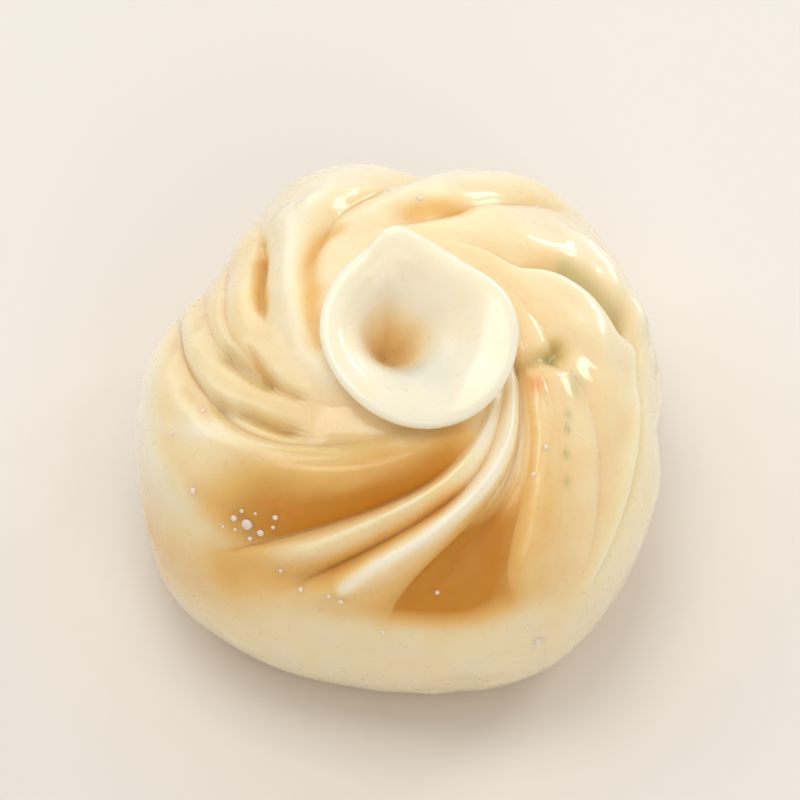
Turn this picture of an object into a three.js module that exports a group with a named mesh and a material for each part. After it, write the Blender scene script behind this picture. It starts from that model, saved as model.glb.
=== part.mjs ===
// One steamed soup dumpling (xiaolongbao).
// A closed dough skin: flat foot, round belly, dome of overlapping pleats that
// swirl clockwise going outward, and a thin flared lip with a blind hole on top.
// Millimetres, +Z up. The foot rests on z = 0 and the box is centred on X and Y.
// Angles are degrees, counter-clockwise from +X seen from above.
import * as THREE from "three";

// ---- driving sizes -------------------------------------------------------
const FOOT_RADIUS = 15;          // flat spot the dumpling rests on
const BELLY_RADIUS = 21.6;       // widest ring of the dough below the pleats
const BELLY_HEIGHT = 11.5;       // height of that ring
const DEPTH_STRETCH = 1.08;      // the soft body sags a little front to back
const NECK_RADIUS = 5;           // where the pleats are pinched together
const NECK_HEIGHT = 27.8;
const NECK_SHIFT = [-0.8, -1.8]; // the top leans this far off the foot's middle
const NECK_GATHER = { from: 0.86, up: 1.0 };  // the dough piles up a little toward the neck
const LEAN_POWER = 1.5;          // how late the body leans over, going up
const BELLY_FULLNESS = 0.9;      // below 1 the curve is fuller than an ellipse
const DOME_FULLNESS = 0.95;

const SWIRL_TURN = 205;          // how far the pleats turn from belly to neck
const SWIRL_POWER = 2.68;        // how late that turn happens

const LIP_RADIUS = 8;
const LIP_CENTRE = [1.3, -4.7, 31.9];
const LIP_PITCH = 18;            // the back edge stands higher
const LIP_ROLL = 4;              // the right edge sits lower
const LIP_THICKNESS = 1.1;
const LIP_OVAL = { at: 325, share: 0.04 };
const LIP_TIP = { at: 103, width: 13, out: 1.0, up: 0.5 };  // small corner at the back
const LIP_FLAT = { at: 57, width: 26, out: -1.2 };          // flattened edge beside it
const LIP_WAVES = [{ count: 2, at: 60, up: 0.3 }, { count: 3, at: 100, up: 0.25 }];

const COLLAR_FLARE = 1.6;        // how late the collar opens into the lip
const COLLAR_LIFT = 3.2;         // how far it first stands up from the neck

const HOLE_FLOOR = [-1.4, -3.4, 26.2];  // lowest point of the funnel
const HOLE_DEPTH = 5.6;
const HOLE_SLANT = [-0.5, 1, 0];        // how far the hole leans on its way up, besides its rise
const HOLE_POWER = 4;            // higher is a narrower hole in a flatter dish
const DISH_SWELL = { share: 0.35, up: 0.15 };  // the lip is faintly fuller near its rim

// Stations along the skin, from the foot's middle (0) to the neck (1).
const FOOT_END = 0.15;
const BELLY_END = 0.42;
const SWIRL_START = 0.4;

// Pleats in order round the body. Each starts at the crease whose angle is given
// low, midway and high on the dome, and runs on to the next pleat's crease.
//   rise: height over the dome       peak: where the crest lies, 0 to 1 across
//   full: bigger is a fuller back    grow: stations where it rises out of the belly
//   lean: how far the crest is pushed sideways over its neighbour
//   ruffle: a station where the crease juts out by some degrees
const PLEATS = Object.values({
  frontBand: { crease: [155, 146, 142], rise: 2.3, peak: 0.25, full: 2.2, grow: [0.36, 0.64], lean: 0.4 },
  thinRope: { crease: [219, 214, 202], rise: 1.7, peak: 0.36, full: 1.7, grow: [0.56, 0.7], lean: 0 },
  frontRope: { crease: [237, 234, 218], rise: 2.1, peak: 0.42, full: 1.8, grow: [0.4, 0.66], lean: 0 },
  frontHollow: { crease: [264, 253, 236], rise: -0.9, peak: 0.5, full: 2, grow: [0.46, 0.62], lean: 0 },
  rightFlat: { crease: [292, 271, 242], rise: 1.2, peak: 0.5, full: 2.2, grow: [0.3, 0.62], lean: 0 },
  rightLow: { crease: [301, 285, 254], rise: 1.6, peak: 0.5, full: 2.2, grow: [0.28, 0.6], lean: 0 },
  rightFlap: { crease: [307, 306, 271], rise: 2.1, peak: 0.8, full: 2.2, grow: [0.24, 0.52], lean: 0.5 },
  backRight: {
    crease: [317, 338, 296],
    rise: 2.2,
    peak: 0.5,
    full: 2,
    grow: [0.24, 0.52],
    lean: 0,
    ruffle: { at: 0.645, width: 0.035, turn: 13 },
  },
  backTop: { crease: [403, 381, 336], rise: 2.3, peak: 0.5, full: 2.4, grow: [0.3, 0.56], lean: 0 },
  backBig: { crease: [439, 414, 376], rise: 2.4, peak: 0.43, full: 2.2, grow: [0.34, 0.6], lean: -0.3 },
  leftBack: { crease: [479, 461, 428], rise: 1.9, peak: 0.5, full: 2.2, grow: [0.36, 0.62], lean: -0.4 },
  leftMid: { crease: [493, 480, 455], rise: 1.3, peak: 0.5, full: 2, grow: [0.34, 0.6], lean: -0.4 },
  leftLow: { crease: [505, 491, 464], rise: 1.4, peak: 0.5, full: 2, grow: [0.34, 0.6], lean: -0.3 },
});
const CREASE_LOW = 0.55;         // station of the first crease angle
const CREASE_STEP = 0.15;        // and the distance to the next two
const CREASE_EASE = 0.15;        // steps in which a crease straightens past both ends
const PINCH = { from: 0.8, share: 0.6 };  // pleats are pressed flatter near the neck

// Bulges and dents of the outline seen from above, as a share of the radius.
const BULGES = [
  { at: 357, width: 8, size: -0.035 },
  { at: 38, width: 26, size: 0.055 },
  { at: 54, width: 13, size: 0.07 },
  { at: 112, width: 14, size: 0.055 },
  { at: 146, width: 20, size: -0.085 },
  { at: 196, width: 34, size: 0.065 },
  { at: 222, width: 24, size: 0.075 },
  { at: 303, width: 26, size: 0.08 },
];
const OFF_ROUND = { at: 330, size: 0.02 };
const BULGE_SPAN = { grown: 0.3, fading: 0.8 };  // stations between which they are whole

// ---- facet counts ----------------------------------------------------------
const FACETS_PER_PLEAT = 8;
const BELLY_RINGS = 8;
const DOME_RINGS = 26;
const COLLAR_RINGS = 3;
const EDGE_RINGS = 3;
const FUNNEL_STATIONS = [0.15, 0.3, 0.45, 0.57, 0.67, 0.76, 0.84, 0.91, 0.965];

// ---- helpers ---------------------------------------------------------------
const rad = (deg) => (deg * Math.PI) / 180;
const clamp = (x, low, high) => Math.min(high, Math.max(low, x));
const wrap = (deg) => ((((deg + 180) % 360) + 360) % 360) - 180;
const hill = (deg, at, width) => Math.exp(-((wrap(deg - at) / width) ** 2));
const vector = (list) => new THREE.Vector3(...list);

function ramp(a, b, x) {
  const t = clamp((x - a) / (b - a), 0, 1);
  return t * t * (3 - 2 * t);
}

// n even steps from just after a up to b
function steps(a, b, n) {
  return Array.from({ length: n }, (_, i) => a + ((b - a) * (i + 1)) / n);
}

// ---- dough body: foot, belly and dome --------------------------------------
// The profile is a flat foot, a quarter ellipse out to the belly ring and a
// second quarter ellipse over the dome to the neck.
function bodyPoint(deg, s) {
  const low = rad(90) * clamp((s - FOOT_END) / (BELLY_END - FOOT_END), 0, 1);
  const high = rad(90) * clamp((s - BELLY_END) / (1 - BELLY_END), 0, 1);
  let radius = (FOOT_RADIUS * s) / FOOT_END;
  let z = 0;
  if (s >= BELLY_END) {
    radius = NECK_RADIUS + (BELLY_RADIUS - NECK_RADIUS) * Math.max(0, Math.cos(high)) ** DOME_FULLNESS;
    z = BELLY_HEIGHT + (NECK_HEIGHT - BELLY_HEIGHT) * Math.sin(high);
    z += NECK_GATHER.up * ramp(NECK_GATHER.from, 1, s);
  } else if (s >= FOOT_END) {
    radius = FOOT_RADIUS + (BELLY_RADIUS - FOOT_RADIUS) * Math.sin(low) ** BELLY_FULLNESS;
    z = BELLY_HEIGHT * (1 - Math.cos(low));
  }
  let swell = OFF_ROUND.size * Math.cos(rad(deg - OFF_ROUND.at));
  for (const bulge of BULGES) swell += bulge.size * hill(deg, bulge.at, bulge.width);
  radius *= 1 + swell * ramp(0, BULGE_SPAN.grown, s) * (1 - ramp(BULGE_SPAN.fading, 1, s));
  const shift = clamp(z / NECK_HEIGHT, 0, 1) ** LEAN_POWER;
  return new THREE.Vector3(
    NECK_SHIFT[0] * shift + radius * Math.cos(rad(deg)),
    NECK_SHIFT[1] * shift + radius * Math.sin(rad(deg)) * DEPTH_STRETCH,
    z,
  );
}

// ---- pleats ----------------------------------------------------------------
const SLOPE_STEP = { deg: 0.05, station: 0.001 };  // how far apart two points give a slope

const swirl = (s) => SWIRL_TURN * clamp((s - SWIRL_START) / (1 - SWIRL_START), 0, 1) ** SWIRL_POWER;

// A parabola through the three crease angles, easing to a stop past both ends; a
// ruffle is a bell added to it at one station.
function creaseAngle(pleat, s) {
  const raw = (s - CREASE_LOW) / CREASE_STEP;
  let t = raw;
  if (raw < 0) t = -CREASE_EASE * (1 - Math.exp(raw / CREASE_EASE));
  if (raw > 2) t = 2 + CREASE_EASE * (1 - Math.exp(-(raw - 2) / CREASE_EASE));
  const [low, mid, high] = pleat.crease;
  const parabola = (low * (t - 1) * (t - 2)) / 2 + mid * t * (2 - t) + (high * t * (t - 1)) / 2;
  if (!pleat.ruffle) return parabola;
  const { at, width, turn } = pleat.ruffle;
  return parabola + turn * Math.exp(-(((s - at) / width) ** 2));
}

// A column of the skin keeps its place across one pleat all the way up, so the
// creases stay sharp: { index, across } with across from 0 to 1.
function columnAngle(column, s) {
  const next = (column.index + 1) % PLEATS.length;
  const start = creaseAngle(PLEATS[column.index], s);
  const end = creaseAngle(PLEATS[next], s) + (next === 0 ? 360 : 0);
  return start + (end - start) * column.across + swirl(s);
}

// Each pleat has a full rounded back that falls to nothing at its two creases,
// and it is pressed flatter near the neck.
function skinPoint(column, s) {
  const { rise, peak, full, grow, lean } = PLEATS[column.index];
  const deg = columnAngle(column, s);
  const around = bodyPoint(deg + SLOPE_STEP.deg, s).sub(bodyPoint(deg - SLOPE_STEP.deg, s)).normalize();
  const above = bodyPoint(deg, Math.min(1, s + SLOPE_STEP.station));
  const up = above.sub(bodyPoint(deg, s - SLOPE_STEP.station)).normalize();
  const out = around.clone().cross(up).normalize();
  const x = column.across;
  const off = x < peak ? (peak - x) / peak : (x - peak) / (1 - peak);
  const grown = ramp(grow[0], grow[1], s) * (1 - PINCH.share * ramp(PINCH.from, 1, s));
  const back = (1 - off ** full) * grown;
  const point = bodyPoint(deg, s).addScaledVector(out, rise * back).addScaledVector(around, lean * back);
  point.z = Math.max(0, point.z);
  return point;
}

// ---- lip and hole ----------------------------------------------------------
const lipRight = vector([Math.cos(rad(LIP_ROLL)), 0, -Math.sin(rad(LIP_ROLL))]);
const lipBack = vector([0, Math.cos(rad(LIP_PITCH)), Math.sin(rad(LIP_PITCH))]);
const lipUp = lipRight.clone().cross(lipBack).normalize();

function rimDirection(deg) {
  return lipRight.clone().multiplyScalar(Math.cos(rad(deg))).addScaledVector(lipBack, Math.sin(rad(deg)));
}

function rimPoint(deg) {
  const tip = hill(deg, LIP_TIP.at, LIP_TIP.width);
  const flat = hill(deg, LIP_FLAT.at, LIP_FLAT.width);
  const oval = 1 + LIP_OVAL.share * Math.cos(rad(deg - LIP_OVAL.at));
  const radius = LIP_RADIUS * oval + LIP_TIP.out * tip + LIP_FLAT.out * flat;
  let lift = LIP_TIP.up * tip;
  for (const wave of LIP_WAVES) lift += wave.up * Math.cos(rad(wave.count * (deg - wave.at)));
  return vector(LIP_CENTRE).addScaledVector(rimDirection(deg), radius).addScaledVector(lipUp, lift);
}

const neckAngle = (column) => columnAngle(column, 1);

// Outer face of the collar: it leaves the neck upward and flares into the rim.
function collarPoint(column, q) {
  const flare = q ** COLLAR_FLARE;
  return skinPoint(column, 1)
    .lerp(rimPoint(neckAngle(column)), flare)
    .addScaledVector(lipUp, (q - flare) * COLLAR_LIFT);
}

// Rim edge: half a round as thick as the lip.
function edgePoint(column, turn) {
  const deg = neckAngle(column);
  const half = LIP_THICKNESS / 2;
  return rimPoint(deg)
    .addScaledVector(rimDirection(deg), half * Math.sin(turn))
    .addScaledVector(lipUp, half * (1 - Math.cos(turn)));
}

// Funnel: straight in toward the hole's mouth, while it drops by a sine of
// f ** power, so a shallow dish falls into a steep hole with a rounded floor.
function funnelPoint(column, f) {
  const drop = lipUp.clone().multiplyScalar(HOLE_DEPTH).add(vector(HOLE_SLANT));
  const mouth = vector(HOLE_FLOOR).add(drop);
  const swell = DISH_SWELL.up * Math.sin(Math.PI * clamp(f / DISH_SWELL.share, 0, 1));
  return rimPoint(neckAngle(column))
    .addScaledVector(lipUp, LIP_THICKNESS)
    .lerp(mouth, f)
    .addScaledVector(lipUp, swell)
    .addScaledVector(drop, -Math.sin(rad(90) * f ** HOLE_POWER));
}

// ---- closed skin -----------------------------------------------------------
const columns = PLEATS.flatMap((_, index) => (
  Array.from({ length: FACETS_PER_PLEAT }, (__, k) => ({ index, across: k / FACETS_PER_PLEAT }))
));
const rings = [
  ...[FOOT_END / 2, FOOT_END].map((s) => [skinPoint, s]),
  ...steps(FOOT_END, BELLY_END, BELLY_RINGS).map((s) => [skinPoint, s]),
  ...steps(BELLY_END, 1, DOME_RINGS).map((s) => [skinPoint, s]),
  ...steps(0, 1, COLLAR_RINGS).map((q) => [collarPoint, q]),
  ...steps(0, Math.PI, EDGE_RINGS).map((turn) => [edgePoint, turn]),
  ...FUNNEL_STATIONS.map((f) => [funnelPoint, f]),
];
const points = rings.flatMap(([makePoint, place]) => columns.map((column) => makePoint(column, place)));
const footMiddle = points.push(vector([0, 0, 0])) - 1;
const holeMiddle = points.push(vector(HOLE_FLOOR)) - 1;

const corner = (ring, i) => ring * columns.length + (i % columns.length);
const lastRing = rings.length - 1;
const faces = [];
for (let i = 0; i < columns.length; i += 1) {
  faces.push([footMiddle, corner(0, i + 1), corner(0, i)]);
  faces.push([holeMiddle, corner(lastRing, i), corner(lastRing, i + 1)]);
  for (let ring = 0; ring < lastRing; ring += 1) {
    const [a, b] = [corner(ring, i), corner(ring, i + 1)];
    const [d, c] = [corner(ring + 1, i), corner(ring + 1, i + 1)];
    // each four-sided patch is cut along its shorter diagonal
    const cutFromA = points[a].distanceTo(points[c]) < points[b].distanceTo(points[d]);
    faces.push(...(cutFromA ? [[a, b, c], [a, c, d]] : [[a, b, d], [b, c, d]]));
  }
}

const skinGeometry = new THREE.BufferGeometry();
const coordinates = points.flatMap((point) => point.toArray());
skinGeometry.setAttribute("position", new THREE.Float32BufferAttribute(coordinates, 3));
skinGeometry.setIndex(faces.flat());
skinGeometry.computeBoundingBox();
const middle = skinGeometry.boundingBox.getCenter(new THREE.Vector3());
skinGeometry.translate(-middle.x, -middle.y, -skinGeometry.boundingBox.min.z);
skinGeometry.computeVertexNormals();

const doughMaterial = new THREE.MeshStandardMaterial({ color: 0xe8d3a6, roughness: 0.35, metalness: 0 });
const dumpling = new THREE.Mesh(skinGeometry, doughMaterial);
dumpling.name = "dumpling_dough";

const group = new THREE.Group();
group.add(dumpling);

export default group;
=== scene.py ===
import math

import bpy
import numpy as np
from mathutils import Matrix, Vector


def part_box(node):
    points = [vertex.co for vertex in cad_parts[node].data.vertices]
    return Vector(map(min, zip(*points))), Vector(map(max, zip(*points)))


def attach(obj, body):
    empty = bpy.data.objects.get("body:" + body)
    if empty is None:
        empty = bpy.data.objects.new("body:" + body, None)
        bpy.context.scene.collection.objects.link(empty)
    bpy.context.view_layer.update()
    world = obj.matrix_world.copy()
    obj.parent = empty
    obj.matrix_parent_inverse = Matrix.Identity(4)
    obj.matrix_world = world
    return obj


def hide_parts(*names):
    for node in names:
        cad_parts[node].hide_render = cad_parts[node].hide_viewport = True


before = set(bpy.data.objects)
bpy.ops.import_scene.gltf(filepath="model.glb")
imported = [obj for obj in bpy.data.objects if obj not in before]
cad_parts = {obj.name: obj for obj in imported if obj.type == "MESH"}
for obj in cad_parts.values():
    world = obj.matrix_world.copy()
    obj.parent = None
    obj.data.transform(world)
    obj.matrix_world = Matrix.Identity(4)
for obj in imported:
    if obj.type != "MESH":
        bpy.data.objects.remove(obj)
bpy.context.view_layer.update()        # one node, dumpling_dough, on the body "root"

doughLow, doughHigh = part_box("dumpling_dough")
mm = 0.001               # shapes are worked out in millimetres, meshes are in metres
print("frame loaded")

# small helpers: every one works on whole arrays


def ease(low, high, x):
    # 0 below low, 1 above high, and a smooth S between them
    t = np.clip((x - low) / (high - low), 0, 1)
    return t * t * (3 - 2 * t)


def hill(degrees, at, width):
    # a bell round the ring: 1 at its middle, exp(-1) one width away
    return np.exp(-((((degrees - at + 180) % 360) - 180) / width) ** 2)


def unit(vectors):
    # every vector over its own length
    return vectors / np.maximum(np.linalg.norm(vectors, axis=-1, keepdims=True), 1e-9)


def softNoise(points, size, seed):
    # heights of -1 to 1 on a lattice of that size in mm, blended smoothly between its corners
    side = 32            # corners along each edge of the lattice, after which it repeats
    heights = np.random.default_rng(seed).uniform(-1, 1, (side, side, side))
    place = points / size
    cell = np.floor(place).astype(int)
    part = place - cell
    part = part * part * (3 - 2 * part)
    total = np.zeros(points.shape[:-1])
    for corner in np.ndindex(2, 2, 2):
        share = np.prod(np.where(corner, part, 1 - part), axis=-1)
        i, j, k = np.moveaxis((cell + corner) % side, -1, 0)
        total += share * heights[i, j, k]
    return total


def gridNormals(points):
    # outward normals of a closed ring grid, from differences between neighbours
    around = np.roll(points, -1, 1) - np.roll(points, 1, 1)
    return unit(np.cross(around, np.gradient(points, axis=0)))


def ringFaces(rows, columns):
    # quads between rings that climb and run counter-clockwise, and a fan at each end to the two points
    # that come after the rings
    here = np.arange(columns)
    after = (here + 1) % columns
    row = np.arange(rows - 1)[:, None] * columns
    quads = np.stack([row + here, row + after, row + columns + after, row + columns + here], -1)
    last = (rows - 1) * columns
    firstEnd = np.full(columns, rows * columns)
    fans = np.vstack([np.stack([after, here, firstEnd], -1),
                      np.stack([last + here, last + after, firstEnd + 1], -1)])
    return quads.reshape(-1, 4), fans


def addPiece(name, points, faces):
    # one smooth mesh object at the origin, from points in mm
    mesh = bpy.data.meshes.new(name)
    mesh.from_pydata((points * mm).tolist(), [], faces)
    mesh.polygons.foreach_set("use_smooth", np.ones(len(faces), bool))
    piece = bpy.data.objects.new(name, mesh)
    bpy.context.scene.collection.objects.link(piece)
    return piece


# the shape of the dough, in mm and degrees, counter-clockwise from +X seen from above
body = dict(
    footRadius=15, bellyRadius=21.6, bellyHeight=11.5, depthStretch=1.08,
    neckRadius=5, neckHeight=27.8, neckShift=(-0.8, -1.8), leanPower=1.5,
    neckGather=(0.86, 1.0),              # the neck is drawn up from this station on, by so many mm
    bellyFullness=0.9, domeFullness=0.95,
    swirlTurn=205, swirlPower=2.68,      # how far the pleats turn, and how late
    firstRing=0.02, footEnd=0.15, bellyEnd=0.42, swirlStart=0.4,   # stations: 0 mid foot, 1 at the neck
    offRound=(330, 0.02),                # direction and share of the radius
    bulges=[(357, 8, -0.035), (38, 26, 0.055), (54, 13, 0.07), (112, 14, 0.055),    # direction, width, share
            (146, 20, -0.085), (196, 34, 0.065), (222, 24, 0.075), (303, 26, 0.08)],
    bulgeSpan=(0.3, 0.8),                # stations where bulges are whole and where they start to fade
)

# crease: its angle low, midway and high on the dome; rise: height over the dome; peak: where the crest
# lies across the pleat; full: bigger is a fuller back; grow: stations where it rises out of the belly;
# lean: how far the crest is pushed sideways over its neighbour; crisp: 1 keeps the crease it starts at
# sharp, and 0 melts it away; honey: how much broth shows through at its first crease, its middle and
# its last crease, and the stations from which and up to which it does; ruffle: station, width and turn
# of a wave in its first crease
pleats = dict(
    frontBand=dict(crease=(155, 146, 142), rise=2.3, peak=0.25, full=2.2, grow=(0.36, 0.64),
                   lean=0.4, crisp=0.6, honey=(0.28, 0.62, 0.58, 0.6, 0.86)),
    thinRope=dict(crease=(219, 214, 202), rise=1.7, peak=0.36, full=1.7, grow=(0.56, 0.7),
                  lean=0, crisp=1, honey=(0.16, 0.14, 0.42, 0.55, 0.78)),
    frontRope=dict(crease=(237, 234, 218), rise=2.1, peak=0.42, full=1.8, grow=(0.4, 0.66),
                   lean=0, crisp=0.9, honey=(0.42, 0.32, 0.44, 0.56, 0.76)),
    frontHollow=dict(crease=(264, 253, 236), rise=-0.9, peak=0.5, full=2, grow=(0.46, 0.62),
                     lean=0, crisp=0.9, honey=(0.85, 0.95, 0.75, 0.5, 0.7)),
    rightFlat=dict(crease=(292, 271, 242), rise=1.2, peak=0.5, full=2.2, grow=(0.3, 0.62),
                   lean=0, crisp=0.6, honey=(0.36, 0.28, 0.16, 0.5, 0.86)),
    rightLow=dict(crease=(301, 285, 254), rise=1.6, peak=0.5, full=2.2, grow=(0.28, 0.6),
                  lean=0, crisp=0.1, honey=(0.14, 0.08, 0.14, 0.45, 0.9)),
    rightFlap=dict(crease=(307, 306, 271), rise=2.1, peak=0.8, full=2.2, grow=(0.24, 0.52),
                   lean=0.5, crisp=0.25, honey=(0.16, 0.1, 0.06, 0.5, 0.9)),
    backRight=dict(crease=(317, 338, 296), rise=2.2, peak=0.5, full=2, grow=(0.24, 0.52),
                   lean=0, ruffle=(0.645, 0.035, 13), crisp=1, honey=(0.14, 0.04, 0.06, 0.6, 0.9)),
    backTop=dict(crease=(403, 381, 336), rise=2.3, peak=0.5, full=2.4, grow=(0.3, 0.56),
                 lean=0, crisp=0.7, honey=(0.08, 0.02, 0.06, 0.6, 0.9)),
    backBig=dict(crease=(439, 414, 376), rise=2.4, peak=0.43, full=2.2, grow=(0.34, 0.6),
                 lean=-0.3, crisp=0.7, honey=(0.1, -0.02, 0.08, 0.7, 1.0)),
    leftBack=dict(crease=(479, 461, 428), rise=1.9, peak=0.5, full=2.2, grow=(0.36, 0.62),
                  lean=-0.4, crisp=0.2, honey=(0.16, 0.08, 0.14, 0.6, 0.9)),
    leftMid=dict(crease=(493, 480, 455), rise=1.3, peak=0.5, full=2, grow=(0.34, 0.6),
                 lean=-0.4, crisp=0.25, honey=(0.2, 0.12, 0.18, 0.6, 0.9)),
    leftLow=dict(crease=(505, 491, 464), rise=1.4, peak=0.5, full=2, grow=(0.34, 0.6),
                 lean=-0.3, crisp=0.2, honey=(0.2, 0.1, 0.12, 0.6, 0.9)),
)
pleatRun = dict(
    creaseLow=0.55, creaseStep=0.15,     # station of a crease's low angle, and from one angle to the next
    ease=0.15,                           # how softly a crease stops past its first and last angle, in steps
    pinchFrom=0.8, pinchShare=0.6,       # from this station up pleats lose up to this share of their height
    meltWidth=22,                        # columns round the ring that a soft pleat melts over
    crispFrom=(0.5, 0.66), crispTo=(0.78, 0.93),   # stations where creases appear and where they end
    crispBlend=(0.2, 0.8),               # where across a pleat the next one's crispness takes over
    honeyRise=0.09,                      # stations over which the honey sets in and fades
    slopeTurn=0.05, slopeRise=0.001,     # small steps in degrees and stations that slopes are taken over
)

lip = dict(
    radius=8, centre=(1.3, -4.7, 31.9), pitch=18, roll=4, thickness=1.1,
    oval=(325, 0.04), tip=dict(at=103, width=13, out=1.0, up=0.5), flat=dict(at=57, width=26, out=-1.2),
    waves=[(2, 60, 0.3), (3, 100, 0.25)],      # waves round the rim, direction, height
    edgeUneven=(3, 40, 0.12),                  # the rim is thicker here and thinner there
    collarFlare=1.6, collarLift=3.2,
    holeFloor=(-1.4, -3.4, 26.2), holeDepth=5.6, holeSlant=(-0.5, 1, 0),
    holePower=4,                               # bigger is a flatter dish and a more sudden hole
    swell=(0.35, 0.15),                        # of the dish inside the rim: share of the way in, height
    lastRing=0.985,                            # share of the way in to the hole's floor
)

columnsPerPleat = 40
rowsOf = dict(foot=4, belly=32, dome=84, collar=10, edge=7, funnel=34)    # rings of each stretch, in order


def bodyPoint(degrees, station):
    # flat foot, a quarter ellipse out to the belly ring, and a second one over the dome to the neck
    footEnd, bellyEnd = body["footEnd"], body["bellyEnd"]
    footRadius, bellyRadius, neckRadius = body["footRadius"], body["bellyRadius"], body["neckRadius"]
    bellyHeight, neckHeight = body["bellyHeight"], body["neckHeight"]
    low = np.pi / 2 * np.clip((station - footEnd) / (bellyEnd - footEnd), 0, 1)
    high = np.pi / 2 * np.clip((station - bellyEnd) / (1 - bellyEnd), 0, 1)
    belly = footRadius + (bellyRadius - footRadius) * np.sin(low) ** body["bellyFullness"]
    dome = neckRadius + (bellyRadius - neckRadius) * np.clip(np.cos(high), 0, 1) ** body["domeFullness"]
    domeHeight = bellyHeight + (neckHeight - bellyHeight) * np.sin(high)
    onFoot, onBelly = station < footEnd, station < bellyEnd
    radius = np.where(onFoot, footRadius * station / footEnd, np.where(onBelly, belly, dome))
    height = np.where(onFoot, 0, np.where(onBelly, bellyHeight * (1 - np.cos(low)), domeHeight))
    gatherFrom, gather = body["neckGather"]
    height = height + gather * ease(gatherFrom, 1, station)
    # the ring isn't round: a cosine for its long side, and a bell for every bulge
    longSide, share = body["offRound"]
    swell = share * np.cos(np.radians(degrees - longSide))
    for at, width, share in body["bulges"]:
        swell = swell + share * hill(degrees, at, width)
    wholeFrom, fadeFrom = body["bulgeSpan"]
    whole = ease(0, wholeFrom, station) * (1 - ease(fadeFrom, 1, station))
    radius = radius * (1 + swell * whole)
    # the higher, the further the body leans over to where its neck is
    leaning = np.clip(height / neckHeight, 0, 1) ** body["leanPower"]
    return np.stack([
        body["neckShift"][0] * leaning + radius * np.cos(np.radians(degrees)),
        body["neckShift"][1] * leaning + radius * np.sin(np.radians(degrees)) * body["depthStretch"],
        height], -1)


def creaseAngle(pleat, station):
    # a parabola through three angles, easing to a stop past both ends; a ruffle is a bell added to it
    crease = pleat["crease"]
    raw = (station - pleatRun["creaseLow"]) / pleatRun["creaseStep"]
    below = -pleatRun["ease"] * (1 - np.exp(np.minimum(raw, 0) / pleatRun["ease"]))
    above = 2 + pleatRun["ease"] * (1 - np.exp(-np.maximum(raw - 2, 0) / pleatRun["ease"]))
    t = np.where(raw < 0, below, np.where(raw > 2, above, raw))
    at, width, turn = pleat.get("ruffle", (0, 1, 0))
    parabola = crease[0] * (t - 1) * (t - 2) / 2 + crease[1] * t * (2 - t) + crease[2] * t * (t - 1) / 2
    return parabola + turn * np.exp(-((station - at) / width) ** 2)


def swirl(station):
    # degrees turned so far: a power of the share of the way up, so it turns late
    turned = np.clip((station - body["swirlStart"]) / (1 - body["swirlStart"]), 0, 1)
    return body["swirlTurn"] * turned ** body["swirlPower"]


pleatCount = len(pleats)
across = np.tile(np.arange(columnsPerPleat) / columnsPerPleat, pleatCount)      # of each column, 0 to 1
whichPleat = np.repeat(np.arange(pleatCount), columnsPerPleat)


def pleatValue(name, part=None):
    # one value per column, taken from the pleat that the column belongs to
    values = [pleat[name] if part is None else pleat[name][part] for pleat in pleats.values()]
    return np.array(values)[whichPleat]


def melt(values):
    # blurs every row round the ring with a bell, as a product of Fourier series
    waves = np.fft.rfftfreq(values.shape[1])
    bell = np.exp(-2 * (np.pi * waves * pleatRun["meltWidth"]) ** 2)
    bell = bell.reshape((-1,) + (1,) * (values.ndim - 2))
    return np.fft.irfft(np.fft.rfft(values, axis=1) * bell, values.shape[1], axis=1)


def crispness(station):
    # 1 where creases stay sharp; across a pleat it goes over to the next pleat's
    here = np.array([pleat["crisp"] for pleat in pleats.values()])
    toNext = (np.roll(here, -1) - here)[whichPleat]
    crisp = here[whichPleat] + toNext * ease(*pleatRun["crispBlend"], across)
    return crisp * ease(*pleatRun["crispFrom"], station) * (1 - ease(*pleatRun["crispTo"], station))


def pleatHoney(crisp, station):
    # an S from the first crease to the middle and a second one to the last crease
    first, middle, last, setsIn, fades = (pleatValue("honey", part) for part in range(5))
    honey = np.where(across < 0.5, first + (middle - first) * ease(0, 0.5, across),
                     middle + (last - middle) * ease(0.5, 1, across))
    honey = honey * ease(setsIn, setsIn + pleatRun["honeyRise"], station)
    honey = honey * (1 - ease(fades, fades + pleatRun["honeyRise"], station))
    return crisp * honey + (1 - crisp) * melt(honey)


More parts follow.
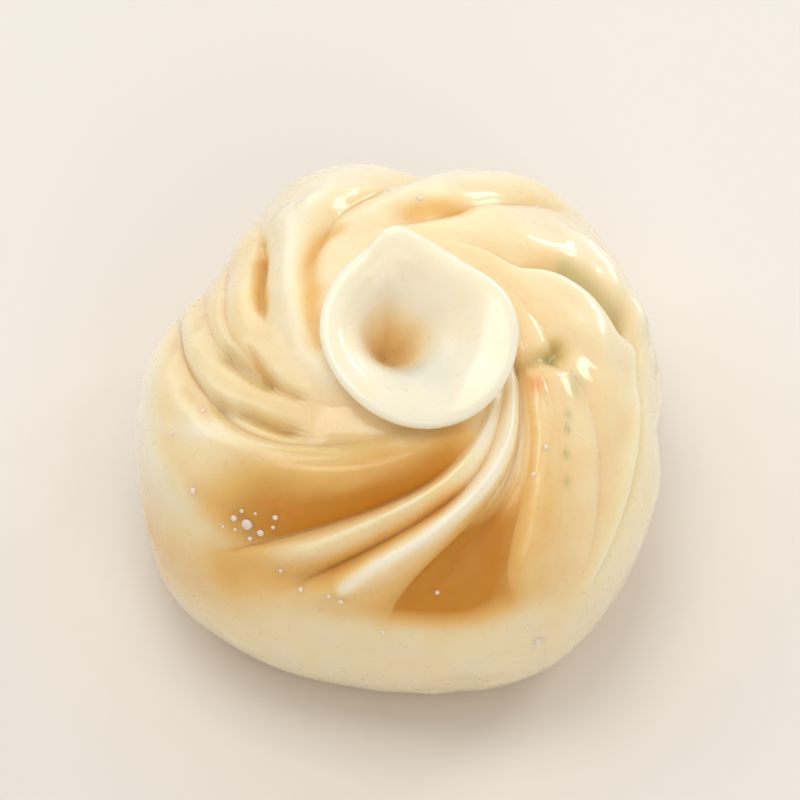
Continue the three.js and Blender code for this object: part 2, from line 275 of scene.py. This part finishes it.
def skin(stations):
    # each column keeps its place across one pleat, so creases stay sharp; a pleat's back is
    # 1 - |distance from its crest| ** full, and falls to nothing at its two creases
    creases = [creaseAngle(pleat, stations) for pleat in pleats.values()]
    creases = np.array(creases + [creases[0] + 360])
    start, end = creases[whichPleat].T, creases[whichPleat + 1].T
    station = np.broadcast_to(stations[:, None], start.shape)
    width = end - start
    degrees = start + width * across + swirl(station)
    points = bodyPoint(degrees, station)
    turn, climb = pleatRun["slopeTurn"], pleatRun["slopeRise"]
    around = unit(bodyPoint(degrees + turn, station) - bodyPoint(degrees - turn, station))
    up = unit(bodyPoint(degrees, np.minimum(station + climb, 1)) - bodyPoint(degrees, station - climb))
    out = unit(np.cross(around, up))
    peak = pleatValue("peak")
    off = np.where(across < peak, (peak - across) / peak, (across - peak) / (1 - peak))
    grown = ease(pleatValue("grow", 0), pleatValue("grow", 1), station)
    pinched = 1 - pleatRun["pinchShare"] * ease(pleatRun["pinchFrom"], 1, station)
    back = (1 - off ** pleatValue("full")) * grown * pinched
    rise = pleatValue("rise") * back
    push = out * rise[..., None] + around * (pleatValue("lean") * back)[..., None]
    crisp = crispness(station)
    raised = points + crisp[..., None] * push + (1 - crisp[..., None]) * melt(push)
    # valleys lie under the melted height and crests over it
    height = crisp * rise + (1 - crisp) * melt(rise)
    # how far each point lies from the nearer crease, along the surface; whole has every pleat sharp, as
    # the solid has it
    radius = np.hypot(points[..., 0], points[..., 1])
    creaseDistance = np.minimum(across, 1 - across) * np.radians(width) * radius
    return dict(points=raised, whole=points + push, plain=points, out=out, degrees=degrees,
                station=station, back=back, crisp=crisp, creaseDistance=creaseDistance,
                valley=melt(height) - height, honey=pleatHoney(crisp, station))


lipRoll, lipPitch = math.radians(lip["roll"]), math.radians(lip["pitch"])
lipAxisRight = np.array([math.cos(lipRoll), 0, -math.sin(lipRoll)])
lipAxisBack = np.array([0, math.cos(lipPitch), math.sin(lipPitch)])
lipAxisUp = unit(np.cross(lipAxisRight, lipAxisBack))


def rim(degrees):
    # a circle that is a little oval, drawn out at its tip, flattened beside it and softly waved
    angle = np.radians(degrees)
    tip = hill(degrees, lip["tip"]["at"], lip["tip"]["width"])
    flat = hill(degrees, lip["flat"]["at"], lip["flat"]["width"])
    radius = lip["radius"] * (1 + lip["oval"][1] * np.cos(np.radians(degrees - lip["oval"][0])))
    radius = radius + lip["tip"]["out"] * tip + lip["flat"]["out"] * flat
    lift = lip["tip"]["up"] * tip
    for count, at, height in lip["waves"]:
        lift = lift + height * np.cos(np.radians(count * (degrees - at)))
    outward = np.cos(angle)[:, None] * lipAxisRight + np.sin(angle)[:, None] * lipAxisBack
    return np.array(lip["centre"]) + radius[:, None] * outward + lift[:, None] * lipAxisUp, outward


def lipRows(neck, degrees):
    # collar up from the neck, half a round for the rim's edge, then the funnel down to the blind hole
    rimLine, outward = rim(degrees)
    climb = np.linspace(0, 1, rowsOf["collar"] + 1)[1:, None, None]
    flare = climb ** lip["collarFlare"]
    collar = neck + (rimLine - neck) * flare + lipAxisUp * (climb - flare) * lip["collarLift"]
    count, at, share = lip["edgeUneven"]
    thickness = lip["thickness"] * (1 + share * np.cos(np.radians(count * (degrees - at))))[:, None]
    turn = np.linspace(0, np.pi, rowsOf["edge"] + 1)[1:, None, None]
    edge = rimLine + thickness / 2 * (outward * np.sin(turn) + lipAxisUp * (1 - np.cos(turn)))
    inward = np.linspace(0, lip["lastRing"], rowsOf["funnel"] + 1)[1:, None, None]
    top = rimLine + lipAxisUp * thickness
    down = lipAxisUp * lip["holeDepth"] + np.array(lip["holeSlant"])
    dishEnd, dishSwell = lip["swell"]
    swell = dishSwell * np.sin(np.pi * np.clip(inward / dishEnd, 0, 1))
    sunk = np.sin(np.pi / 2 * inward ** lip["holePower"])
    funnel = top + (np.array(lip["holeFloor"]) + down - top) * inward + lipAxisUp * swell - down * sunk
    return collar, edge, funnel, np.broadcast_to(inward[..., 0], funnel.shape[:2])


# strokes: small things that lie along a line on the body, each point (degrees, station).
# width in mm; depth presses the skin in by so many mm; broth, leek and carrot let the filling show through,
# and a little leek over a wide stroke greys it as painted shade; some strokes use broth as painted shade,
# and less broth as painted highlight
strokes = dict(
    # pressed pits, greyed with a little leek colour as painted shade
    leftPit=dict(path=[(187, 0.814), (193, 0.841), (204, 0.876)],
                 width=0.7, depth=1.0, brothAndShade=0.06, leekAndShade=0.1),
    leftPitLow=dict(path=[(201, 0.779), (211.5, 0.827), (226, 0.855)],
                    width=0.65, depth=0.9, brothAndShade=0.1, leekAndShade=0.1),
    # painted shade: more amber in a pressed valley on the left and at a spot by the lip's tip
    leftShade=dict(path=[(145, 0.766), (158, 0.832), (166, 0.864)], width=0.8, depth=0.5, brothAndShade=0.25),
    tipShade=dict(path=[(82, 0.856), (76, 0.832), (66, 0.83)], width=1.3, depth=0.3, brothAndShade=0.35),
    bandSlope=dict(path=[(232, 0.742), (243, 0.735), (251, 0.748), (256, 0.766), (263, 0.794), (271, 0.815),
                         (280, 0.836), (290, 0.852)], width=1.9, brothAndShade=0.18),
    # painted shade: a little leek colour greys the band's slope
    bandShade=dict(path=[(222, 0.76), (234, 0.81), (247, 0.845), (262, 0.868), (281, 0.885)],
                   width=2.5, leekAndShade=0.14),
    # painted shade: a little leek colour greys the left pleats
    leftShadow=dict(path=[(185, 0.78), (197, 0.82), (210, 0.86)], width=4.5, leekAndShade=0.1),
    # more amber under the lip's front edge: partly broth in the crease there, partly painted shade under the
    # lip
    underLip=dict(path=[(286, 0.848), (300, 0.874)], width=1.8, brothAndShade=0.14),
    paleRise=dict(path=[(299, 0.805), (303, 0.832), (309, 0.866)], width=2.2, brothAndShade=-0.25),
    frontBroth=dict(path=[(232, 0.565), (241, 0.578), (255, 0.585), (268, 0.572), (284, 0.57)],
                    width=2.6, brothAndShade=0.28),
    rightWarm=dict(path=[(314, 0.836), (314, 0.742), (312, 0.634), (308, 0.526)], width=4.0, brothAndShade=0.05),
    flapPit=dict(path=[(352, 0.812), (356, 0.80)], width=0.8, depth=0.5, brothAndShade=0.35, leekAndShade=0.5),
    flapLeek=dict(path=[(27, 0.765), (23, 0.738), (17, 0.703), (14, 0.676), (8, 0.662)],
                  width=1.0, depth=0.3, leekAndShade=0.5),
    # more amber low on the left: partly broth showing, partly painted shade on that side
    leftBelly=dict(path=[(204, 0.40), (214, 0.46), (222, 0.52)], width=6, brothAndShade=0.3),
    leftPale=dict(path=[(208, 0.74), (212, 0.69), (216, 0.64), (219, 0.59)], width=3.2, brothAndShade=-0.13),
    shoulderPale=dict(path=[(182, 0.66), (192, 0.69), (202, 0.7), (212, 0.71)], width=4.2, brothAndShade=-0.24),
    leftLine=dict(path=[(191, 0.862), (204, 0.876), (220, 0.903)], width=0.5, depth=0.5, brothAndShade=0.15),
    leftLineLow=dict(path=[(209, 0.814), (219, 0.841), (230, 0.855)], width=0.45, depth=0.4, brothAndShade=0.12),
    sideLine=dict(path=[(192, 0.724), (197, 0.745), (204, 0.758)], width=0.5, depth=0.4, brothAndShade=0.1),
    # a raised line along the rope's crest, paler and a little grey: a painted highlight
    ropeWelt=dict(path=[(258, 0.615), (265, 0.667), (271, 0.696), (277, 0.717), (284, 0.746), (291, 0.772),
                        (299, 0.8)], width=0.6, depth=-0.3, brothAndShade=-0.5, leekAndShade=0.08),
    # a raised line along the thin rope, greyed with leek colour: a painted grey sheen
    thinWelt=dict(path=[(238, 0.65), (246, 0.68), (255, 0.715), (266, 0.75), (280, 0.79)],
                  width=0.7, depth=-0.2, brothAndShade=-0.06, leekAndShade=0.12),
    # raised ridges, a little paler along the lines where highlights fall: painted highlight over the real
    # shine
    rightWelt=dict(path=[(35, 0.71), (30.5, 0.696), (26.8, 0.676), (22, 0.662), (17.4, 0.641),
                         (13.7, 0.627)], width=1.2, depth=-0.75, brothAndShade=-0.12),
    backWelt=dict(path=[(120, 0.82), (113.5, 0.814), (105.5, 0.8), (99, 0.779), (93, 0.765)],
                  width=1.1, depth=-0.6, brothAndShade=-0.1),
    ridgeWelt=dict(path=[(127, 0.77), (133, 0.814), (147.5, 0.883), (161, 0.924), (175, 0.945),
                         (192, 0.957), (210, 0.959), (230, 0.962)], width=1.4, depth=-0.6, brothAndShade=-0.15),
    # a raised line, paler along it: a painted highlight line
    lineWelt=dict(path=[(196, 0.66), (206, 0.738), (216, 0.79), (226, 0.82), (238, 0.85)],
                  width=0.6, depth=-0.25, brothAndShade=-0.1),
    # a pressed line, darker amber: partly broth, partly painted shade in the line
    ridgeLine=dict(path=[(138, 0.738), (153, 0.807), (172, 0.876)], width=0.5, depth=0.4, brothAndShade=0.25),
    ridgeValley=dict(path=[(203, 0.972), (181.5, 0.972), (168, 0.963), (154, 0.952), (140, 0.91),
                           (128, 0.882), (116, 0.883)], width=0.9, depth=0.3, brothAndShade=0.4),
    # grey-green along a ledge: partly leek showing, partly painted shade in the hollow above it
    flapLedge=dict(path=[(345, 0.87), (350, 0.84), (352, 0.812)],
                   width=0.8, depth=0.5, brothAndShade=0.15, leekAndShade=0.3),
    rightLeek=dict(path=[(347, 0.762), (343, 0.77)], width=0.9, leekAndShade=0.35),
    rightCarrot=dict(path=[(339, 0.84), (338, 0.835)], width=0.7, depth=-0.15, carrot=0.35),
    leftCarrot=dict(path=[(203, 0.416), (205, 0.42)], width=1.1, carrot=0.35),
)

# specks of the filling that show through the skin: what shows, how strongly, width in mm, and where
specks = [
    dict(kind="carrot", share=0.8, width=0.36, places=[(241, 0.73), (236, 0.736)]),
    dict(kind="carrot", share=0.4, width=0.34,
         places=[(239, 0.714), (231, 0.73), (338, 0.836), (341, 0.848), (341, 0.828)]),
    dict(kind="carrot", share=0.4, width=0.7, places=[(206, 0.452), (213, 0.384)]),
    dict(kind="leekAndShade", share=0.75, width=0.3, places=[(331, 0.755), (325, 0.735)]),
    dict(kind="leekAndShade", share=0.5, width=0.4, places=[(335, 0.766), (320, 0.704)]),
]
strokeSteps = 12         # points that a stroke's line has between two of its places


def nearStroke(stroke, plain):
    # 1 on the stroke's line, falling as exp(-(distance / width) ** 2) on the body without its pleats
    knots = np.array(stroke["path"], float)
    t = np.linspace(0, len(knots) - 1, strokeSteps * (len(knots) - 1) + 1)
    which = np.arange(len(knots))
    line = bodyPoint(np.interp(t, which, knots[:, 0]), np.interp(t, which, knots[:, 1]))
    gap = np.full(plain.shape[:2], np.inf)
    for point in line:
        gap = np.minimum(gap, np.linalg.norm(plain - point, axis=-1))
    return np.exp(-(gap / stroke["width"]) ** 2)


def strokeLayers(plain, shape):
    # what all strokes and specks together press in, in mm, let show through, and paint as shade or
    # highlight; the lip has none
    layers = {name: np.zeros(shape) for name in ("depth", "brothAndShade", "leekAndShade", "carrot")}
    dots = [{"path": [place], "width": group["width"], group["kind"]: group["share"]}
            for group in specks for place in group["places"]]
    for stroke in [*strokes.values(), *dots]:
        near = nearStroke(stroke, plain)
        for name in layers:
            layers[name][:len(plain)] += stroke.get(name, 0) * near
    return layers


# how far broth shows through: 0 is thick white dough, and 1 is a thin skin with broth right behind it. The
# same layer also carries painted shade, and its lower values painted highlight
through = dict(
    skin=0.21, valley=0.12, crest=0.2,         # and so much more or less for each mm of valley or crest: partly thinner skin in valleys and thicker on crests, partly painted shade in valleys and painted light on crests
    collar=0.2, lip=0.02,
    hole=0.5, holeRun=(0.5, 0.95),             # added between these shares of the way in: partly broth at the floor, partly painted shade deeper in the hole
    footMiddle=0.2, holeFloor=1.0,             # at the two points that close the skin
    most=1.3,
)

relief = dict(
    lump=dict(height=0.3, size=6.5, shift=40, seed=3),          # mm; the shift keeps the lattices apart
    ripple=dict(height=0.09, size=2.3, shift=80, seed=4),
    wholeFrom=0.3,                                              # station up from which lumps are whole
    lipShare=0.35, holeFade=0.9,                                # of lumps on the lip, till near its floor
    groove=0.2, grooveWidth=0.45, groovePower=5,                # along each crease, by its crispness
    strand=0.07, strandCount=2.4, strandDrift=0.55,             # fine folds that run with a pleat
    drift=dict(perPleat=7.0, perStation=14, size=1.0, seed=5),  # how the strands wander
)


def addBrothAndShade(brothAndShade, surface, inward):
    # honey of the pleats, more in valleys and less on crests, partly by the skin's thickness and partly as
    # painted shade and light; then the collar, the lip and its hole
    skinRows = len(surface["station"])
    collarEnd = skinRows + rowsOf["collar"]
    valley = surface["valley"]
    brothAndShade[:skinRows] += through["skin"] + surface["honey"]
    # valleys get more broth and crests less: partly thinner and thicker skin, partly painted shade and
    # painted light
    brothAndShade[:skinRows] += np.where(valley > 0, through["valley"], through["crest"]) * valley
    brothAndShade[skinRows:collarEnd] += through["collar"]
    brothAndShade[collarEnd:] += through["lip"]
    # deeper into the hole, more amber: partly broth at its floor, partly painted shade in the hole
    brothAndShade[-rowsOf["funnel"]:] += through["hole"] * ease(*through["holeRun"], inward)


def reliefHeight(surface, grid, press, inward):
    # lumps and ripples fade out at the foot and at the hole's floor; strands are a cosine across each
    # pleat, and grooves a bell along each crease
    skinRows = len(surface["station"])
    fade = np.ones(grid.shape[:2])
    fade[:skinRows] = ease(body["footEnd"], relief["wholeFrom"], surface["station"])
    fade[skinRows:] = relief["lipShare"]
    fade[-rowsOf["funnel"]:] *= 1 - ease(relief["holeFade"], 1, inward)
    height = -press
    for bump in (relief["lump"], relief["ripple"]):
        height = height + fade * bump["height"] * softNoise(grid + bump["shift"], bump["size"], bump["seed"])
    drift = relief["drift"]
    lanes = np.stack(np.broadcast_arrays(
        drift["perPleat"] * whichPleat, drift["perStation"] * surface["station"], 0.0), -1)
    wander = relief["strandDrift"] * softNoise(lanes, drift["size"], drift["seed"])
    strands = np.cos(2 * np.pi * (relief["strandCount"] * across + wander))
    height[:skinRows] += relief["strand"] * strands * surface["back"] * surface["crisp"]
    groove = relief["groove"] * np.exp(-(surface["creaseDistance"] / relief["grooveWidth"]) ** 2)
    height[:skinRows] -= groove * surface["crisp"] ** relief["groovePower"]
    return height


def makeDoughSkin():
    # rings of the body, then of the lip, every point raised by the relief's height along its normal, and
    # one point at each end that closes the skin
    stations = np.concatenate([
        np.linspace(body["firstRing"], body["footEnd"], rowsOf["foot"]),
        np.linspace(body["footEnd"], body["bellyEnd"], rowsOf["belly"] + 1)[1:],
        np.linspace(body["bellyEnd"], 1, rowsOf["dome"] + 1)[1:]])
    skinRows = len(stations)
    surface = skin(stations)
    collar, edge, funnel, inward = lipRows(surface["points"][-1], surface["degrees"][-1])
    grid = np.concatenate([surface["points"], collar, edge, funnel])

    shows = strokeLayers(surface["plain"], grid.shape[:2])
    press = shows.pop("depth")
    addBrothAndShade(shows["brothAndShade"], surface, inward)

    # on the body it is the smooth body's own normal, so that creases don't close
    normals = gridNormals(grid)
    raiseAlong = normals.copy()
    raiseAlong[:skinRows] = surface["out"]
    grid = grid + raiseAlong * reliefHeight(surface, grid, press, inward)[..., None]
    grid[..., 2] = np.maximum(grid[..., 2], 0)

    # centred in the frame's box, as the solid is
    whole = surface["whole"].reshape(-1, 3)
    middle = (whole.min(0) + whole.max(0)) / 2
    place = (np.array(doughLow) + np.array(doughHigh)) / 2 / mm - middle
    place[2] = 0
    points = np.vstack([grid.reshape(-1, 3), [[0, 0, 0]], [lip["holeFloor"]]]) + place
    points[:, 2] = np.maximum(points[:, 2], 0)

    quads, fans = ringFaces(*grid.shape[:2])
    piece = addPiece("doughSkin", points, quads.tolist() + fans.tolist())
    for name, values in shows.items():
        ends = [through["footMiddle"], through["holeFloor"]] if name == "brothAndShade" else [0, 0]
        layer = piece.data.attributes.new(name, "FLOAT", "POINT")
        values = np.clip(np.concatenate([values.reshape(-1), ends]), 0, through["most"])
        layer.data.foreach_set("value", values.astype(np.float32))
    return piece, dict(points=grid[:skinRows] + place, normals=normals[:skinRows], plain=surface["plain"])


doughSkin, doughSurface = makeDoughSkin()
print("dough skin:", len(doughSkin.data.vertices), "vertices")


def linear(hexColour):
    # an sRGB hex colour as the linear values that Blender's sockets take
    parts = [int(hexColour[i:i + 2], 16) / 255 for i in (1, 3, 5)]
    return [part / 12.92 if part <= 0.04045 else ((part + 0.055) / 1.055) ** 2.4 for part in parts] + [1]


def addNode(material, kind, settings=None, links=None):
    # settings name sockets or properties of the node; links name the output that feeds each socket;
    # a number stands for the socket at that place, where names repeat
    node = material.node_tree.nodes.new(kind)
    for name, value in (settings or {}).items():
        if isinstance(name, int) or name in node.inputs:
            node.inputs[name].default_value = value
        else:
            setattr(node, name, value)
    for name, output in (links or {}).items():
        material.node_tree.links.new(output, node.inputs[name])
    return node


def newMaterial(name):
    # a material with no nodes in it yet
    material = bpy.data.materials.new(name)
    material.use_nodes = True
    material.node_tree.nodes.clear()
    return material


# steamed wheat dough, rolled thin: milky and moist, so light goes in and comes out warmer, and
# amber broth shows where the skin is thin
steamedDough = dict(
    thick="#ffecd4", plain="#f6e0b2", honey="#ecc072", deep="#d08c24", leekAndShade="#a9a561", carrot="#e58f45",
    plainAt=0.28, honeyAt=0.62,          # how far broth shows where these two colours are
    mottleSize=3.2, mottleDetail=3.0,    # mm; it takes and adds a little broth
    mottleRange={"From Min": 0.3, "From Max": 0.7, "To Min": -0.04, "To Max": 0.05},
    rippleSize=0.9, rippleDetail=2.0, rippleHeight=0.12, rippleStrength=0.35,     # mm, octaves, mm, share
    roughRange={"From Min": 0.3, "From Max": 0.7, "To Min": 0.26, "To Max": 0.44},    # of ripple
    dullRange={"From Min": 0.6, "From Max": 1.0, "To Min": 0.0, "To Max": 0.25},      # broth dulls it
    moistRange={"From Min": 0.3, "From Max": 0.9, "To Min": 1.0, "To Max": 0.08},     # and is less moist
    moistRoughness=0.09, moistIor=1.34,
    ior=1.4, lightDepth=1.8, lightSpread=(1.0, 0.94, 0.88),    # mm that light goes in, and by colour
)


def doughColour(material, depth):
    # thick white dough to deep amber broth, with bits of leek and carrot mixed over it; the broth and leek
    # layers also carry painted shade and highlight
    ramp = addNode(material, "ShaderNodeValToRGB", links={"Fac": depth})
    stops = ramp.color_ramp.elements
    stops[0].position, stops[0].color = 0.0, linear(steamedDough["thick"])
    stops[1].position, stops[1].color = 1.0, linear(steamedDough["deep"])
    for name in ("plain", "honey"):
        stop = stops.new(steamedDough[name + "At"])
        stop.color = linear(steamedDough[name])
    colour = ramp.outputs["Color"]
    for name in ("leekAndShade", "carrot"):
        bit = addNode(material, "ShaderNodeAttribute", {"attribute_name": name})
        mixed = addNode(material, "ShaderNodeMix", {"data_type": "RGBA", 7: linear(steamedDough[name])},
                        {0: bit.outputs["Fac"], 6: colour})
        colour = mixed.outputs[2]
    return colour


def makeSteamedDough():
    look = steamedDough
    material = newMaterial("steamedWheatDough")
    place = addNode(material, "ShaderNodeTexCoord").outputs["Object"]
    mottle = addNode(material, "ShaderNodeTexNoise", {
        "Scale": 1 / (look["mottleSize"] * mm), "Detail": look["mottleDetail"]}, {"Vector": place})
    uneven = addNode(material, "ShaderNodeMapRange", look["mottleRange"], {"Value": mottle.outputs["Fac"]})
    brothAndShade = addNode(material, "ShaderNodeAttribute", {"attribute_name": "brothAndShade"})
    depth = addNode(material, "ShaderNodeMath", {"operation": "ADD"},
                    {0: brothAndShade.outputs["Fac"], 1: uneven.outputs["Result"]}).outputs["Value"]
    ripple = addNode(material, "ShaderNodeTexNoise", {
        "Scale": 1 / (look["rippleSize"] * mm), "Detail": look["rippleDetail"]},
        {"Vector": place}).outputs["Fac"]
    bump = addNode(material, "ShaderNodeBump", {
        "Strength": look["rippleStrength"], "Distance": look["rippleHeight"] * mm}, {"Height": ripple})
    rough = addNode(material, "ShaderNodeMapRange", look["roughRange"], {"Value": ripple})
    dull = addNode(material, "ShaderNodeMapRange", look["dullRange"], {"Value": depth})
    moist = addNode(material, "ShaderNodeMapRange", look["moistRange"], {"Value": depth})
    roughness = addNode(material, "ShaderNodeMath", {"operation": "ADD"},
                        {0: rough.outputs["Result"], 1: dull.outputs["Result"]})
    shader = addNode(material, "ShaderNodeBsdfPrincipled", {
        "IOR": look["ior"], "Subsurface Weight": 1.0, "Subsurface Radius": look["lightSpread"],
        "Subsurface Scale": look["lightDepth"] * mm, "Coat Roughness": look["moistRoughness"],
        "Coat IOR": look["moistIor"],
    }, {
        "Base Color": doughColour(material, depth), "Roughness": roughness.outputs["Value"],
        "Normal": bump.outputs["Normal"], "Coat Weight": moist.outputs["Result"],
    })
    addNode(material, "ShaderNodeOutputMaterial", links={"Surface": shader.outputs["BSDF"]})
    return material


doughSkin.data.materials.append(makeSteamedDough())
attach(doughSkin, "root")
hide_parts("dumpling_dough")
print("dough material done")

# drops of clear broth that lie on the dough, each (direction, station, radius in mm)
drops = dict(
    places=[(230, 0.678, 0.52), (228.4, 0.694, 0.2), (226.4, 0.676, 0.3), (229, 0.654, 0.16),
            (233.6, 0.67, 0.34), (231.6, 0.702, 0.16), (237, 0.69, 0.2), (232, 0.648, 0.24),
            (225, 0.65, 0.14), (236, 0.712, 0.26), (200, 0.748, 0.24), (215, 0.668, 0.3),
            (201, 0.692, 0.18), (242, 0.608, 0.22), (247, 0.578, 0.26), (254, 0.586, 0.2),
            (257, 0.58, 0.28), (280, 0.598, 0.2), (267, 0.506, 0.2), (322, 0.774, 0.26),
            (314, 0.758, 0.2), (333, 0.764, 0.16), (348, 0.774, 0.2), (300, 0.426, 0.45),
            (298, 0.48, 0.18), (50, 0.718, 0.24), (80, 0.82, 0.26), (91, 0.788, 0.2)],
    flatness=0.75, sunk=0.15,            # height and how deep it sits, as shares of the radius
    rings=9, sides=20, sidesFrom=(0.3, 0.1, 1.0),    # sides are counted from square to this direction
)


def makeBrothDrops():
    # every drop is a ball pressed flat along the skin's outward direction
    found = np.array(drops["places"])
    wanted = bodyPoint(found[:, 0], found[:, 1])
    plain = doughSurface["plain"].reshape(-1, 3)
    nearest = [np.argmin(np.linalg.norm(plain - point, axis=1)) for point in wanted]
    out = doughSurface["normals"].reshape(-1, 3)[nearest]
    aside = unit(np.cross(out, drops["sidesFrom"]))
    axes = np.stack([aside, np.cross(out, aside), out], 1)
    # one ball, as shares of its three axes: rings from its bottom up, then its two ends
    flat = drops["flatness"]
    tilt = np.linspace(np.pi, 0, drops["rings"] + 2)[1:-1, None]
    turn = np.linspace(0, 2 * np.pi, drops["sides"], endpoint=False)
    rings = np.stack(np.broadcast_arrays(
        np.sin(tilt) * np.cos(turn), np.sin(tilt) * np.sin(turn), flat * np.cos(tilt)), -1)
    ball = np.vstack([rings.reshape(-1, 3), [[0, 0, -flat], [0, 0, flat]]])
    radius = found[:, 2, None]
    centre = doughSurface["points"].reshape(-1, 3)[nearest] - out * radius * flat * drops["sunk"]
    points = centre[:, None] + radius[:, None] * (ball @ axes)
    quads, fans = ringFaces(drops["rings"], drops["sides"])
    start = np.arange(len(found))[:, None, None] * len(ball)
    faces = (quads + start).reshape(-1, 4).tolist() + (fans + start).reshape(-1, 3).tolist()
    return addPiece("brothDrops", points.reshape(-1, 3), faces)


# clear soup with a little fat: nearly water, with a sharp sparkle; a quarter of it lets light through, and
# its faintly warm near-white base is partly pale foam and partly a painted glint
clearBroth = dict(colour="#fff2e4", ior=1.34, clear=0.25, film=1.0, roughness=0.02)


def makeClearBroth():
    material = newMaterial("clearBroth")
    shader = addNode(material, "ShaderNodeBsdfPrincipled", {
        "Base Color": linear(clearBroth["colour"]), "Roughness": clearBroth["roughness"],
        "IOR": clearBroth["ior"], "Transmission Weight": clearBroth["clear"],
        "Coat Weight": clearBroth["film"], "Coat Roughness": clearBroth["roughness"]})
    addNode(material, "ShaderNodeOutputMaterial", links={"Surface": shader.outputs["BSDF"]})
    return material


brothDrops = makeBrothDrops()
brothDrops.data.materials.append(makeClearBroth())
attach(brothDrops, "root")
print("broth drops:", len(drops["places"]))

# the floor's side in mm, the world's strength, and the spot in metres that the lights are turned to
stageLook = dict(floor="#e9e2d8", floorRoughness=0.6, floorSize=1200, world=0.5, lightsAimAt=(0, 0, 0.015))


def makePaintedBoard():
    # matt emulsion paint, rolled on smooth: pale and even, with only a dull shine
    material = newMaterial("paintedBoard")
    shader = addNode(material, "ShaderNodeBsdfPrincipled", {
        "Base Color": linear(stageLook["floor"]), "Roughness": stageLook["floorRoughness"]})
    addNode(material, "ShaderNodeOutputMaterial", links={"Surface": shader.outputs["BSDF"]})
    return material


def makeFloor():
    # a flat square: its four corners are the signs of two parameters
    half = stageLook["floorSize"] / 2
    corners = np.array([(-half, -half, 0), (half, -half, 0), (half, half, 0), (-half, half, 0)])
    floor = addPiece("floor", corners, [(0, 1, 2, 3)])
    floor.data.materials.append(makePaintedBoard())


# name: place in metres, side of the square in metres, watts
softLights = dict(
    backPane=dict(place=(0.306, 0.329, 0.219), size=0.085, watts=0.27),
    sidePane=dict(place=(0.367, 0.229, 0.25), size=0.085, watts=0.27),
    backSky=dict(place=(-0.14, 0.5, 0.28), size=0.5, watts=0.68),
    overhead=dict(place=(-0.05, 0.02, 0.5), size=0.22, watts=0.62),
    frontFill=dict(place=(0.14, -0.42, 0.36), size=0.3, watts=0.58),
    leftFill=dict(place=(-0.34, 0.12, 0.36), size=0.25, watts=0.3),
)


def aim(thing, target):
    # its own -Z points at the target and its Y stays up
    thing.rotation_mode = "QUATERNION"
    thing.rotation_quaternion = (Vector(target) - thing.location).to_track_quat("-Z", "Y")


def makeLights():
    # square area lights round the dumpling, and an even white world
    for name, light in softLights.items():
        data = bpy.data.lights.new(name, "AREA")
        data.size = light["size"]
        data.energy = light["watts"]
        lamp = bpy.data.objects.new(name, data)
        bpy.context.scene.collection.objects.link(lamp)
        lamp.location = light["place"]
        aim(lamp, stageLook["lightsAimAt"])
    world = bpy.data.worlds.new("softRoom")
    world.use_nodes = True
    world.node_tree.nodes["Background"].inputs["Strength"].default_value = stageLook["world"]
    world.node_tree.nodes["Background"].inputs["Color"].default_value = (1, 1, 1, 1)
    bpy.context.scene.world = world
    bpy.context.scene.view_settings.view_transform = "Standard"


# from the front, 54 degrees above, far off so that it looks nearly parallel
cameraSettings = dict(elevation=54, distance=1.5, widthSeen=0.069, sensor=36, clipStart=0.05,
                      target=(0, 0, 0.0162))


def makeCamera():
    # back from its target by the distance, as high as the elevation says, with a lens that sees the width
    settings = cameraSettings
    data = bpy.data.cameras.new("camera")
    data.sensor_width = settings["sensor"]
    data.lens = settings["sensor"] * settings["distance"] / settings["widthSeen"]
    data.clip_start = settings["clipStart"]
    camera = bpy.data.objects.new("camera", data)
    bpy.context.scene.collection.objects.link(camera)
    up = math.radians(settings["elevation"])
    back = settings["distance"] * Vector((0, -math.cos(up), math.sin(up)))
    camera.location = Vector(settings["target"]) + back
    aim(camera, settings["target"])
    bpy.context.scene.camera = camera


makeFloor()
makeLights()
makeCamera()
print("floor, lights and camera done")
